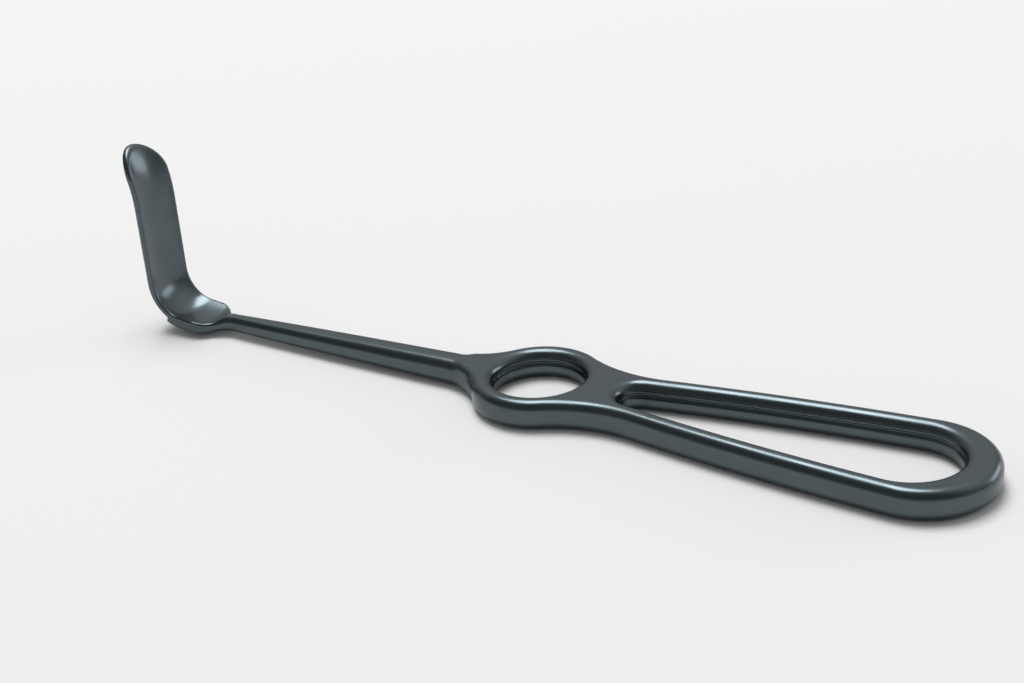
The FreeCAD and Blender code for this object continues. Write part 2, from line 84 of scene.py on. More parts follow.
# The Mix node's sockets by number, because its names repeat.
SHARE, NUMBER_A, NUMBER_B, COLOUR_A, COLOUR_B = 0, 2, 3, 6, 7
NUMBER_OUT, COLOUR_OUT = 0, 2

# The polish: clouds over the whole part, and marks drawn out along the handle.
CLOUDS = {"Scale": 110.0, "Detail": 5.0, "Roughness": 0.6}
CLOUD_SPAN = (0.3, 0.7)
MARKS = {"Scale": 4.0, "Detail": 2.0, "Roughness": 0.4}
MARKS_STRETCH = (60.0, 900.0, 900.0)
MARKS_STRENGTH = 0.5

# The studio, in metres. Heights and depths of the room are parts of a unit direction.
FLOOR_REACH = 3.0
TOP_LAMP = {"place": (-0.95, 0.76, 3.84), "target": (0.0, 0.0, 0.0), "width": 1.9, "depth": 2.4}
BACK_LAMP = {"place": (1.74, 2.34, 0.6), "target": (0.0, 0.0, 0.02), "width": 1.6, "depth": 0.8}
ROOM_DEPTH = (-0.45, 0.55)
NEAR_HEIGHTS = (0.02, 0.26)
FAR_HEIGHTS = (0.0, 0.9)
HORIZON = 1.0
CAMERA_PLACE = (0.183885, -0.286109, 0.171697)
CAMERA_RIGHT = (0.84872, 0.52402, -0.07131)
CAMERA_UP = (-0.16939, 0.39709, 0.90201)
CAMERA_BACK = (0.50099, -0.75347, 0.42578)
SENSOR_WIDTH = 36.0
CLIP_START, CLIP_END = 0.01, 20.0


def length(name, description, default):
    """A size that a user may change, in metres, from its value in millimetres."""
    return FloatProperty(
        name=name,
        description=description,
        default=default * MM,
        min=0.0,
        unit="LENGTH",
        precision=5,
    )


def angle(name, description, degrees):
    """An angle that a user may change, in radians, from its value in degrees."""
    return FloatProperty(
        name=name, description=description, default=math.radians(degrees), unit="ROTATION"
    )


def amount(name, description, default, least=0.0, **more):
    """A plain number that a user may change."""
    return FloatProperty(name=name, description=description, default=default, min=least, **more)


def tone(name, description, red, green, blue):
    """An opaque colour that a user may change."""
    return FloatVectorProperty(
        name=name,
        description=description,
        subtype="COLOR",
        size=4,
        min=0.0,
        max=1.0,
        default=(red, green, blue, 1.0),
    )


class RetractorHandle(bpy.types.PropertyGroup):
    """Sizes of the finger ring and the loop grip."""

    plate_thickness: length("Plate thickness", "Thickness of the ring and of the loop", 7.0)
    outer_round: length("Outer rounding", "Width of the outer edges' rounding", 2.3)
    outer_drop: length("Outer rounding height", "Height of the outer edges' rounding", 2.6)
    inner_round: length("Inner rounding", "Width of the inner edges' rounding", 2.3)
    inner_drop: length("Inner rounding height", "Height of the inner edges' rounding", 2.4)
    ring_hole_radius: length("Finger hole radius", "Radius of the finger hole", 10.5)
    ring_wall: length("Ring bar width", "Width of the ring's bar", 4.9)
    web_length: length("Web length", "Finger hole to the loop's opening", 10.2)
    yoke_radius: length("Yoke radius", "Hollow curve between the ring and a leg", 31.6)
    loop_reach: length("Loop reach", "Ring axis to the far end of the loop", 104.5)
    loop_end_radius: length("Loop end radius", "Outside of the loop's round end", 16.2)
    loop_end_wall: length("Loop end width", "Bar width at the loop's far end", 7.6)
    leg_width: length("Leg width", "Bar width of a leg", 4.8)
    leg_splay: angle("Leg splay", "Angle of a leg's outer edge at the round end", 3.4)
    leg_bow_radius: length("Leg bow radius", "Large radius of the legs' outward bow", 640.0)
    parting_height: length("Parting height", "Crease above the middle of the plate", 0.8)
    crease_depth: length("Crease depth", "Depth of the crease inside the ring and the loop", 0.42)


class RetractorShaft(bpy.types.PropertyGroup):
    """Sizes of the tapered shaft."""

    shoulder_radius: length("Shoulder radius", "Hollow curve between shaft and ring", 15.0)
    face_end: length("Face end", "Ring axis to where the plate's flat face ends", 20.2)
    face_soft: length("Face end run", "Length of the change from flat face to shaft", 3.2)
    root_width: length("Root width", "Shaft width at its root", 7.0)
    root_thickness: length("Root thickness", "Shaft thickness at its root", 6.5)
    root_round: length("Root rounding", "Rounding of the shaft's edges at its root", 2.2)
    mid_station: length("Middle station", "Ring axis to the shaft's middle section", 55.0)
    mid_width: length("Middle width", "Shaft width at the middle section", 6.0)
    mid_thickness: length("Middle thickness", "Shaft thickness at the middle section", 5.4)
    mid_drop: length("Middle drop", "Middle section below the middle of the plate", 0.1)
    neck_station: length("Neck station", "Ring axis to the neck", 88.5)
    neck_width: length("Neck width", "Shaft width at the neck", 4.2)
    neck_thickness: length("Neck thickness", "Shaft thickness at the neck", 4.2)
    neck_drop: length("Neck drop", "Neck below the middle of the plate", 0.3)
    neck_round: length("Neck rounding", "Rounding of the shaft's edges at the neck", 1.4)
    crown: length("Crown", "How much the shaft's faces are crowned", 0.5)


class RetractorBlade(bpy.types.PropertyGroup):
    """Sizes of the foot, the heel and the blade."""

    shoulder_length: length("Shoulder length", "Neck to the full width of the foot", 8.0)
    corner_round: length("Shoulder corner", "Corners of the shoulders, seen from above", 1.6)
    foot_depth: length("Foot depth", "Middle of the plate to the foot's underside", 2.25)
    foot_tilt: angle("Foot tilt", "Rise of the foot toward the heel", 6.0)
    foot_length: length("Foot length", "Straight foot before the heel", 5.8)
    blade_width: length("Blade width", "Width of the foot and the blade", 13.3)
    blade_thickness: length("Blade thickness", "Thickness of the blade's wall", 1.9)
    trough_radius: length("Trough radius", "Hollow of the blade across its width", 16.0)
    edge_radius: length("Edge rounding", "Rounding of the blade's edges", 0.8)
    heel_radius: length("Heel radius", "Bend of the heel at the middle of the wall", 10.0)
    pad_angle: angle("Pad angle", "How far the foot's flat underside follows the heel", 24.0)
    blade_length: length("Blade length", "Straight run of the blade above the heel", 19.9)
    lip_radius: length("Lip radius", "Backward curve of the lip", 30.0)
    tip_height: length("Tip height", "Middle of the plate to the top of the tip", 43.7)
    tip_width: length("Tip half width", "Half width of the tip's oval", 6.75)
    tip_rise: length("Tip rise", "Height of the tip's oval", 7.9)
    mesh_step: length("Mesh step", "Size of the skin's mesh faces", 0.36)


class RetractorSteel(bpy.types.PropertyGroup):
    """Finish of the satin steel."""

    flat_colour: tone("Steel colour", "Reflection of the clean steel", 0.102, 0.126, 0.136)
    dull_colour: tone("Dull steel colour", "Reflection of the duller patches", 0.076, 0.096, 0.104)
    sheen_low: amount(
        "Smoothest", "Roughness of the best polished patches", 0.20, max=1.0, subtype="FACTOR"
    )
    sheen_high: amount(
        "Roughest", "Roughness of the dullest patches", 0.30, max=1.0, subtype="FACTOR"
    )
    scratch_depth: length("Polishing marks", "Depth of the polishing marks", 0.005)


class RetractorStudio(bpy.types.PropertyGroup):
    """Floor, lamps, room and camera."""

    floor_colour: tone("Floor colour", "Pale floor", 0.955, 0.957, 0.96)
    room_light: amount("Room light", "Strength of the room's even light", 0.38)
    far_low: amount("Far side, low", "Brightness low behind the object", 0.4)
    far_high: amount("Far side, high", "Brightness high behind the object", 1.2)
    near_side: amount("Near side", "Brightness high behind the camera", 0.22)
    top_lamp: amount("Top lamp", "Power of the lamp overhead", 107.0, unit="POWER")
    back_lamp: amount("Back lamp", "Power of the low lamp behind", 12.0, unit="POWER")
    lens: amount("Lens", "Focal length of the camera", 59.52, least=1.0, unit="CAMERA")


def sizes_in_mm(group):
    """Every length of a group in millimetres and every angle in radians, by name."""
    found = {}
    for name, prop in group.bl_rna.properties.items():
        if prop.type == "FLOAT" and not prop.is_array:
            found[name] = getattr(group, name) * (1.0 if prop.unit == "ROTATION" else 1.0 / MM)
    return found


def toward(start, end, distance):
    """The point at a distance from start, on the way to end."""
    run = math.dist(start, end)
    return tuple(a + (b - a) * distance / run for a, b in zip(start, end))


def meet(first, first_radius, second, second_radius):
    """Where two circles meet, on the left of the way from the first centre to the second."""
    gap = math.dist(first, second)
    along = (gap**2 + first_radius**2 - second_radius**2) / (2 * gap)
    across = math.sqrt(first_radius**2 - along**2)
    way = ((second[0] - first[0]) / gap, (second[1] - first[1]) / gap)
    return (
        first[0] + along * way[0] - across * way[1],
        first[1] + along * way[1] + across * way[0],
    )


def arc_row(centre, radius, start, end, solid_inside):
    """One arc of an outline, with the two directions that bound it, counter-clockwise."""
    first = ((start[0] - centre[0]) / radius, (start[1] - centre[1]) / radius)
    last = ((end[0] - centre[0]) / radius, (end[1] - centre[1]) / radius)
    return centre, radius, first, last, 1.0 if solid_inside else -1.0


def outline_arcs(h, s):
    """The handle's outline above its middle line: shoulder, ring, yoke, leg and round end."""
    ring, end_radius = h["ring_hole_radius"] + h["ring_wall"], h["loop_end_radius"]
    half_root, hollow = s["root_width"] / 2, s["shoulder_radius"]
    yoke, bow, splay = h["yoke_radius"], h["leg_bow_radius"], h["leg_splay"]
    origin, end = (0.0, 0.0), (h["loop_reach"] - end_radius, 0.0)
    leg = (end[0] + (bow - end_radius) * math.sin(splay), -(bow - end_radius) * math.cos(splay))
    waist = meet(origin, ring + yoke, leg, bow + yoke)
    shoulder = (-math.sqrt((ring + hollow) ** 2 - (half_root + hollow) ** 2), half_root + hollow)
    ring_start, ring_end = toward(origin, shoulder, ring), toward(origin, waist, ring)
    leg_start, leg_end = toward(leg, waist, bow), toward(leg, end, bow)
    arcs = [
        arc_row(shoulder, hollow, (shoulder[0], half_root), ring_start, False),
        arc_row(origin, ring, ring_end, ring_start, True),
        arc_row(waist, yoke, ring_end, leg_start, False),
        arc_row(leg, bow, leg_end, leg_start, True),
        arc_row(end, end_radius, (end[0] + end_radius, 0.0), leg_end, True),
    ]
    return arcs, shoulder[0], leg


def opening_arcs(h, leg):
    """The loop's opening above its middle line: narrow end, long side and wide end."""
    bow = h["leg_bow_radius"] - h["leg_width"]
    start, finish = h["ring_hole_radius"] + h["web_length"], h["loop_reach"] - h["loop_end_wall"]
    rise = bow**2 - leg[1] ** 2
    small = (rise - (leg[0] - start) ** 2) / (2 * (bow - leg[0] + start))
    large = (rise - (leg[0] - finish) ** 2) / (2 * (bow + leg[0] - finish))
    near, far = (start + small, 0.0), (finish - large, 0.0)
    near_join, far_join = toward(leg, near, bow), toward(leg, far, bow)
    return [
        arc_row(near, small, near_join, (start, 0.0), True),
        arc_row(leg, bow, far_join, near_join, True),
        arc_row(far, large, (finish, 0.0), far_join, True),
    ]


def arc_distance(x, y, arcs):
    """Signed distance to a smooth chain of arcs, negative on the solid side."""
    nearest, signed = np.full(x.shape, np.inf), np.full(x.shape, OUTSIDE)
    for (cx, cy), radius, first, last, side in arcs:
        dx, dy = x - cx, y - cy
        after_first = first[0] * dy - first[1] * dx >= -ON_THE_LINE
        before_last = dx * last[1] - dy * last[0] >= -ON_THE_LINE
        gap = side * (np.hypot(dx, dy) - radius)
        closer = after_first & before_last & (np.abs(gap) < nearest)
        nearest = np.where(closer, np.abs(gap), nearest)
        signed = np.where(closer, gap, signed)
    return signed


def soft_edge(side, face, wide, tall):
    """Two surfaces joined by an elliptical rounding, negative inside both."""
    reach = np.hypot(np.maximum(side + wide, 0.0) / wide, np.maximum(face + tall, 0.0) / tall)
    return (reach - 1.0) * np.minimum(wide, tall)


def round_corner(first, second, radius):
    """What lies inside both, with a round corner, true to distance further in too."""
    reach = np.hypot(np.maximum(first + radius, 0.0), np.maximum(second + radius, 0.0))
    return np.minimum(-radius, np.maximum(first, second)) + reach


def blend(first, second, reach):
    """What lies in either, with a soft hollow where they meet."""
    overlap = np.maximum(reach - np.abs(first - second), 0.0) / reach
    return np.minimum(first, second) - overlap**2 * reach / 4


def ease(value):
    """A smooth step from 0 to 1."""
    value = np.clip(value, 0.0, 1.0)
    return value * value * (3.0 - 2.0 * value)


def mix(first, second, share):
    """The first value at a share of 0 and the second at 1."""
    return first + (second - first) * share


def through(stations, values):
    """The smooth curve through three stations, as a function."""
    return np.poly1d(np.polyfit(stations, values, 2))


class Shape:
    """The retractor's implicit surface. y is the distance from the plane of symmetry.

    h, s and b are the sizes of the handle, the shaft and the blade. The values below are in
    millimetres too, unless they are shares.
    """

    TAPER_PAST_FOOT = 2.0  # how far past the foot's start the bar's taper is followed
    CROWN_LIMIT = 1.2  # share of the half width past which the crown falls no further
    PAD_EDGE = 0.6  # rounding at the pad's end on the heel
    PAD_BLEND = 0.25  # soft hollow between the pad and the blade's back
    TROUGH_START, TROUGH_LESS = 1.2, 1.0  # past the neck, and how much its run is shorter
    BACK_START, BACK_LESS = 3.0, 3.2  # the same for the blade's back
    FLARE_POWER = 1.8  # how late the shoulders spread
    CORNER_START = 0.3  # share of the shoulders past which their corners are rounded
    FACE_OVAL = 1.2  # how much the plate's face is drawn in beside the shaft
    RING_START = -8.0  # station past which the plate's face is flat
    EDGE_RUN = 6.0  # length of the change from the shaft's edges to the ring's
    UPPER_LOBE = 0.8  # rounding of the upper lobe at the crease
    LOWER_LOBE = (0.9, 1.2)  # width and height of the lower lobe's rounding there
    CREASE_REACH = 1.2  # height above and below the crease that its bottom takes
    LOBE_BLEND = 0.3  # soft hollow between the lobes
    CREASE_BLEND = 0.2  # soft hollow at the crease's bottom
    ARM_START = 4.0  # past the shaft's root, where the arm's surface takes over

    def __init__(self, h, s, b):
        self.h, self.s, self.b = h, s, b
        self.outline, self.root_x, leg = outline_arcs(h, s)
        self.opening = opening_arcs(h, leg)
        stations = (self.root_x, -s["mid_station"], -s["neck_station"])
        widths = (s["root_width"] / 2, s["mid_width"] / 2, s["neck_width"] / 2)
        heights = (s["root_thickness"] / 2, s["mid_thickness"] / 2, s["neck_thickness"] / 2)
        self.half_width = through(stations, widths)
        self.half_height = through(stations, heights)
        self.middle = through(stations, (0.0, -s["mid_drop"], -s["neck_drop"]))
        self.place_wall()

    def place_wall(self):
        """Where the middle of the blade's wall runs, seen from the side."""
        s, b = self.s, self.b
        self.rise = (math.sin(b["foot_tilt"]), math.cos(b["foot_tilt"]))
        self.start = (
            -s["neck_station"] - b["shoulder_length"],
            b["blade_thickness"] / 2 - b["foot_depth"],
        )
        self.heel = (
            self.start[0] - b["foot_length"] * self.rise[1] + b["heel_radius"] * self.rise[0],
            self.start[1] + b["foot_length"] * self.rise[0] + b["heel_radius"] * self.rise[1],
        )
        self.blade_x = self.heel[0] - b["heel_radius"]
        self.blade_top = self.heel[1] + b["blade_length"]

    def wall_offset(self, x, z):
        """Distance from the wall's middle toward the trough, and how far the heel has turned."""
        b = self.b
        across, down = self.heel[0] - x, self.heel[1] - z
        turned = np.arctan2(across, down)
        off = (x - self.start[0]) * self.rise[0] + (z - self.start[1]) * self.rise[1]
        bend = (turned >= b["foot_tilt"]) & (turned < math.pi / 2)
        off = np.where(bend, b["heel_radius"] - np.hypot(across, down), off)
        upright = (down <= 0) & (across > 0)
        off = np.where(upright, x - self.blade_x, off)
        lip = np.hypot(x - self.blade_x + b["lip_radius"], z - self.blade_top) - b["lip_radius"]
        off = np.where(upright & (z >= self.blade_top), lip, off)
        return off, np.where(down > 0, turned, math.pi)

    def bar(self, x):
        """The shaft's half width and edge rounding at a station, held at the root beyond it."""
        s = self.s
        station = np.clip(x, self.start[0] - self.TAPER_PAST_FOOT, self.root_x)
        toward_neck = ease((self.root_x - station) / (s["neck_station"] + self.root_x))
        return self.half_width(station), mix(s["root_round"], s["neck_round"], toward_neck)

    def bar_faces(self, x, y, z, half_w):
        """The bar's crowned top and underside, each negative on the steel's side."""
        station = np.minimum(x, self.root_x)
        crown = self.s["crown"] * np.minimum(y / half_w, self.CROWN_LIMIT) ** 2
        middle, half = self.middle(station), self.half_height(station)
        return z - middle - half + crown, middle - half + crown - z

    def faces(self, x, y, z, half_w):
        """Top and underside of the shaft, the foot and the blade."""
        s, b = self.s, self.b
        top, low = self.bar_faces(x, y, z, half_w)
        front = x < -s["neck_station"]
        if front.any():
            x, y, z = x[front], y[front], z[front]
            off, turned = self.wall_offset(x, z)
            wall, inner = b["blade_thickness"], b["trough_radius"]
            centre = inner + wall / 2
            from_centre = np.hypot(y, off - centre)
            trough = np.where(off < centre, inner - from_centre, inner)
            past_pad = (turned - b["foot_tilt"] - b["pad_angle"]) * b["heel_radius"]
            pad = soft_edge(past_pad, -wall / 2 - off, self.PAD_EDGE, self.PAD_EDGE)
            under = blend(from_centre - inner - wall, pad, self.PAD_BLEND)
            run = -x - s["neck_station"]
            scoop = ease((run - self.TROUGH_START) / (b["shoulder_length"] - self.TROUGH_LESS))
            back = ease((run - self.BACK_START) / (b["shoulder_length"] - self.BACK_LESS))
            top[front] = mix(top[front], trough, scoop)
            low[front] = mix(low[front], under, back)
        return top, low

    def side(self, x, y):
        """The sides of shaft, shoulders and blade, seen from above, and their half width."""
        s, b = self.s, self.b
        bar, rounding = self.bar(x)
        full = b["blade_width"] / 2
        power = self.FLARE_POWER
        run = np.maximum(-x - s["neck_station"], 0.0) / b["shoulder_length"]
        growth = (full - bar) * run**power
        slope = (full - bar) * power * run ** (power - 1.0) / b["shoulder_length"]
        flare = (y - bar - growth) / np.sqrt(1.0 + slope**2)
        cornered = round_corner(flare, y - full, b["corner_round"])
        side = np.where(run > self.CORNER_START, cornered, flare)
        return side, np.minimum(bar + growth, full), mix(rounding, b["edge_radius"], ease(run))

    def arm(self, x, y, z):
        """The shaft, the foot, the heel and the blade, for stations beyond the shaft's root."""
        b = self.b
        side, half_w, rounding = self.side(x, y)
        level = b["tip_height"] - b["tip_rise"]
        above = np.maximum(z - level, 0.0)
        tip = (np.hypot(y / b["tip_width"], above / b["tip_rise"]) - 1.0) * b["tip_width"]
        side = np.where(z > level, np.maximum(side, tip), side)
        top, low = self.faces(x, y, z, half_w)
        return soft_edge(side, np.maximum(top, low), rounding, rounding)

    def outside(self, x, y, z):
        """The outside of the shaft's root, the ring and the loop."""
        h, s = self.h, self.s
        half_w, rounding = self.bar(x)
        side = np.where(x < self.root_x, y - half_w, arc_distance(x, y, self.outline))
        flat = np.abs(z) - h["plate_thickness"] / 2
        bar = np.maximum(*self.bar_faces(x, y, z, half_w))
        from_ring = np.hypot(x, self.FACE_OVAL * y)
        beyond = ease(0.5 + (from_ring - s["face_end"]) / s["face_soft"])
        face = np.where(x > self.RING_START, flat, mix(flat, bar, beyond))
        share = ease((x - self.root_x) / self.EDGE_RUN)
        wide = mix(rounding, h["outer_round"], share)
        tall = mix(rounding, h["outer_drop"], share)
        return soft_edge(side, face, wide, tall)

    def inside_wall(self, x, y, z):
        """The inner wall of the ring and the loop: two lobes with a crease between them."""
        h = self.h
        half = h["plate_thickness"] / 2
        crease, wide, tall = h["parting_height"], h["inner_round"], h["inner_drop"]
        lobe, (lower_wide, lower_tall) = self.UPPER_LOBE, self.LOWER_LOBE
        ring = np.hypot(x, y) - h["ring_hole_radius"]
        wall = -np.minimum(ring, arc_distance(x, y, self.opening))
        upper = np.maximum(
            soft_edge(wall, z - half, wide, tall), soft_edge(wall, crease - z, lobe, lobe)
        )
        lower = np.maximum(
            soft_edge(wall, -z - half, wide, tall),
            soft_edge(wall, z - crease, lower_wide, lower_tall),
        )
        core = np.maximum(wall + h["crease_depth"], np.abs(z - crease) - self.CREASE_REACH)
        return blend(blend(upper, lower, self.LOBE_BLEND), core, self.CREASE_BLEND)

    def handle(self, x, y, z):
        """The shaft's root, the ring and the loop."""
        return np.maximum(self.outside(x, y, z), self.inside_wall(x, y, z))

    def value(self, points):
        """Below zero inside the steel. Points are rows of x, y, z in millimetres."""
        x, y, z = points[:, 0], np.abs(points[:, 1]), points[:, 2]
        field = np.empty(x.shape)
        near = x > self.root_x - self.ARM_START
        field[near] = self.handle(x[near], y[near], z[near])
        field[~near] = self.arm(x[~near], y[~near], z[~near])
        return field

    def slope(self, points, reach):
        """The direction of steepest growth, over a small reach."""
        slope = np.empty_like(points)
        for axis in range(3):
            step = np.zeros(3)
            step[axis] = reach
            slope[:, axis] = (self.value(points + step) - self.value(points - step)) / (2 * reach)
        return slope


def sample(shape, low, counts, step):
    """The field on a grid, a slab at a time so that it stays small."""
    field = np.full(counts, OUTSIDE, np.float32)
    ys = low[1] + step * np.arange(counts[1])
    zs = low[2] + step * np.arange(counts[2])
    plate_top = shape.h["plate_thickness"] / 2 + MARGIN
    for start in range(0, counts[0], SLAB):
        xs = low[0] + step * np.arange(start, min(start + SLAB, counts[0]))
        top = counts[2]
        if xs[0] > -shape.s["neck_station"] + HANDLE_START:
            top = min(counts[2], int((plate_top - low[2]) / step) + 1)
        grid = np.stack(np.meshgrid(xs, ys, zs[:top], indexing="ij"), -1).reshape(-1, 3)
        field[start : start + len(xs), :, :top] = shape.value(grid).reshape(len(xs), len(ys), top)
    return field


def corner_counts(inside):
    """How many of each grid cell's eight corners are inside."""
    along, across, up = ((slice(0, size - 1), slice(1, size)) for size in inside.shape)
    return sum(inside[i, j, k].astype(np.int8) for i in along for j in across for k in up)


def net_points(field, cells, low, step):
    """The mean of the places where the surface crosses each cell's edges."""
    total, crossings = np.zeros((len(cells), 3)), np.zeros(len(cells))
    for axis in range(3):
        others = [a for a in range(3) if a != axis]
        for i in (0, 1):
            for j in (0, 1):
                first = cells.copy()
                first[:, others[0]] += i
                first[:, others[1]] += j
                second = first.copy()
                second[:, axis] += 1
                a, b = field[tuple(first.T)], field[tuple(second.T)]
                crossed = (a < 0) != (b < 0)
                share = np.where(crossed, a / np.where(a == b, 1.0, a - b), 0.0)
                place = first.astype(float)
                place[:, axis] += share
                total += place * crossed[:, None]
                crossings += crossed
    return np.asarray(low) + step * total / crossings[:, None]


def net_quads(inside, number):
    """One quad round each grid edge that crosses the surface, facing out of the steel."""
    quads = []
    for axis in range(3):
        one, two = (axis + 1) % 3, (axis + 2) % 3
        turned = inside.transpose(axis, one, two)
        cell = number.transpose(axis, one, two)
        i, j, k = np.nonzero(turned[:-1, 1:-1, 1:-1] != turned[1:, 1:-1, 1:-1])
        j, k = j + 1, k + 1
        corners = (cell[i, j - 1, k - 1], cell[i, j, k - 1], cell[i, j, k], cell[i, j - 1, k])
        ring = np.stack(corners, 1)
        outward = turned[i, j, k]
        quads.append(np.where(outward[:, None], ring, ring[:, ::-1]))
    return np.concatenate(quads)


def net(field, low, step):
    """A quad mesh around the negative part of a grid: one point in each cell that it crosses."""
    inside = field < 0
    corners = corner_counts(inside)
    active = (corners > 0) & (corners < 8)
    cells = np.argwhere(active)
    number = np.full(active.shape, -1, np.int32)
    number[active] = np.arange(len(cells))
    return net_points(field, cells, low, step), net_quads(inside, number)


def skin_mesh(shape, name):
    """Mesh the shape, pull every point onto the true surface and take its normals from there."""
    step = shape.b["mesh_step"]
    low = np.array(CAD_BOX[0]) / MM - MARGIN
    high = np.array(CAD_BOX[1]) / MM + MARGIN
    low[1] = -step * math.ceil(-low[1] / step) - step / 2
    counts = tuple(np.ceil((high - low) / step).astype(int) + 1)
    points, quads = net(sample(shape, low, counts, step), low, step)
    for _ in range(PULLS):
        slope = shape.slope(points, PULL_REACH)
        away = shape.value(points) / np.maximum((slope**2).sum(1), FLATTEST)
        points -= np.clip(away, -PULL_LIMIT, PULL_LIMIT)[:, None] * slope
    normals = shape.slope(points, NORMAL_REACH)
    normals /= np.linalg.norm(normals, axis=1)[:, None]

    mesh = bpy.data.meshes.new(name)
    mesh.from_pydata((points * MM).tolist(), [], quads.tolist())
    mesh.polygons.foreach_set("use_smooth", np.ones(len(mesh.polygons), bool))
    mesh.update()
    mesh.normals_split_custom_set_from_vertices(normals.tolist())
    return mesh


def add_node(tree, kind, place, **settings):
    """A shader node at a place in its tree, with its properties and inputs set."""
    node = tree.nodes.new(kind)
    node.location = place
    for key, value in settings.items():
        if key in node.inputs.keys():
            node.inputs[key].default_value = value
        else:
            setattr(node, key, value)
    return node


def stretch(tree, place, source, span, result, **settings):
    """A change from one result to another while the source passes through a span."""
    node = add_node(tree, "ShaderNodeMapRange", place, **settings)
    for socket, value in zip(("From Min", "From Max", "To Min", "To Max"), (*span, *result)):
        node.inputs[socket].default_value = value
    tree.links.new(source, node.inputs["Value"])
    return node.outputs["Result"]


def satin_steel(look):
    """Satin steel: clouded polish and fine polishing marks."""
    steel = bpy.data.materials.new("SatinSteel")
    steel.use_nodes = True
    tree = steel.node_tree
    tree.nodes.clear()
    output = add_node(tree, "ShaderNodeOutputMaterial", (900, 0))
    shader = add_node(tree, "ShaderNodeBsdfPrincipled", (600, 0), Metallic=1.0)
    tree.links.new(shader.outputs["BSDF"], output.inputs["Surface"])
    place = add_node(tree, "ShaderNodeTexCoord", (-1300, 0))

    cloud = add_node(tree, "ShaderNodeTexNoise", (-800, 250), **CLOUDS)
    tree.links.new(place.outputs["Object"], cloud.inputs["Vector"])
    tint = add_node(tree, "ShaderNodeMix", (-300, 250), data_type="RGBA")
    tint.inputs[COLOUR_A].default_value = look.flat_colour
    tint.inputs[COLOUR_B].default_value = look.dull_colour
    tree.links.new(cloud.outputs["Fac"], tint.inputs[SHARE])
    tree.links.new(tint.outputs[COLOUR_OUT], shader.inputs["Base Color"])

    sheen = (look.sheen_low, look.sheen_high)
    polish = stretch(tree, (-300, -50), cloud.outputs["Fac"], CLOUD_SPAN, sheen)
    tree.links.new(polish, shader.inputs["Roughness"])

    marks_place = add_node(tree, "ShaderNodeMapping", (-1050, -150), Scale=MARKS_STRETCH)
    tree.links.new(place.outputs["Object"], marks_place.inputs["Vector"])
    marks = add_node(tree, "ShaderNodeTexNoise", (-800, -150), **MARKS)
    tree.links.new(marks_place.outputs["Vector"], marks.inputs["Vector"])
    relief = add_node(tree, "ShaderNodeBump", (0, -300), Strength=MARKS_STRENGTH)
    relief.inputs["Distance"].default_value = look.scratch_depth
    tree.links.new(marks.outputs["Fac"], relief.inputs["Height"])
    tree.links.new(relief.outputs["Normal"], shader.inputs["Normal"])
    return steel


class RETRACTOR_OT_build_skin(bpy.types.Operator):
    """Build the retractor's satin steel skin over its CAD solid"""

    bl_idname = "retractor.build_skin"
    bl_label = "Build Retractor"

    def execute(self, context):
        scene = context.scene
        groups = (scene.retractor_handle, scene.retractor_shaft, scene.retractor_blade)
        shape = Shape(*(sizes_in_mm(group) for group in groups))
        skin = bpy.data.objects.new("retractor_skin", skin_mesh(shape, "retractor_skin"))
        scene.collection.objects.link(skin)
        skin.data.materials.append(satin_steel(scene.retractor_steel))
        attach(skin, "root")
        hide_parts(NODE)
        return {"FINISHED"}


def pale_floor(colour):
    """A plain pale matt surface."""
    material = bpy.data.materials.new("PaleFloor")
    material.use_nodes = True
    shader = material.node_tree.nodes["Principled BSDF"]
    shader.inputs["Base Color"].default_value = colour
    shader.inputs["Roughness"].default_value = 1.0
    shader.inputs["Specular IOR Level"].default_value = 0.0
    return material


def area_lamp(name, power, place, target, width, depth):
    """A rectangular lamp that points at a target, in metres."""
    lamp = bpy.data.lights.new(name, "AREA")
    lamp.shape, lamp.size, lamp.size_y, lamp.energy = "RECTANGLE", width, depth, power
    item = bpy.data.objects.new(name, lamp)
    item.location = place
    item.rotation_euler = (Vector(target) - Vector(place)).to_track_quat("-Z", "Y").to_euler()
    item.visible_camera = False
    bpy.context.scene.collection.objects.link(item)


def choose(tree, place, share, first, second):
    """One number or another by a share. Either may be a number or a socket."""
    node = add_node(tree, "ShaderNodeMix", place, data_type="FLOAT")
    tree.links.new(share, node.inputs[SHARE])
    for socket, source in ((node.inputs[NUMBER_A], first), (node.inputs[NUMBER_B], second)):
        if isinstance(source, float):
            socket.default_value = source
        else:
            tree.links.new(source, socket)
    return node.outputs[NUMBER_OUT]


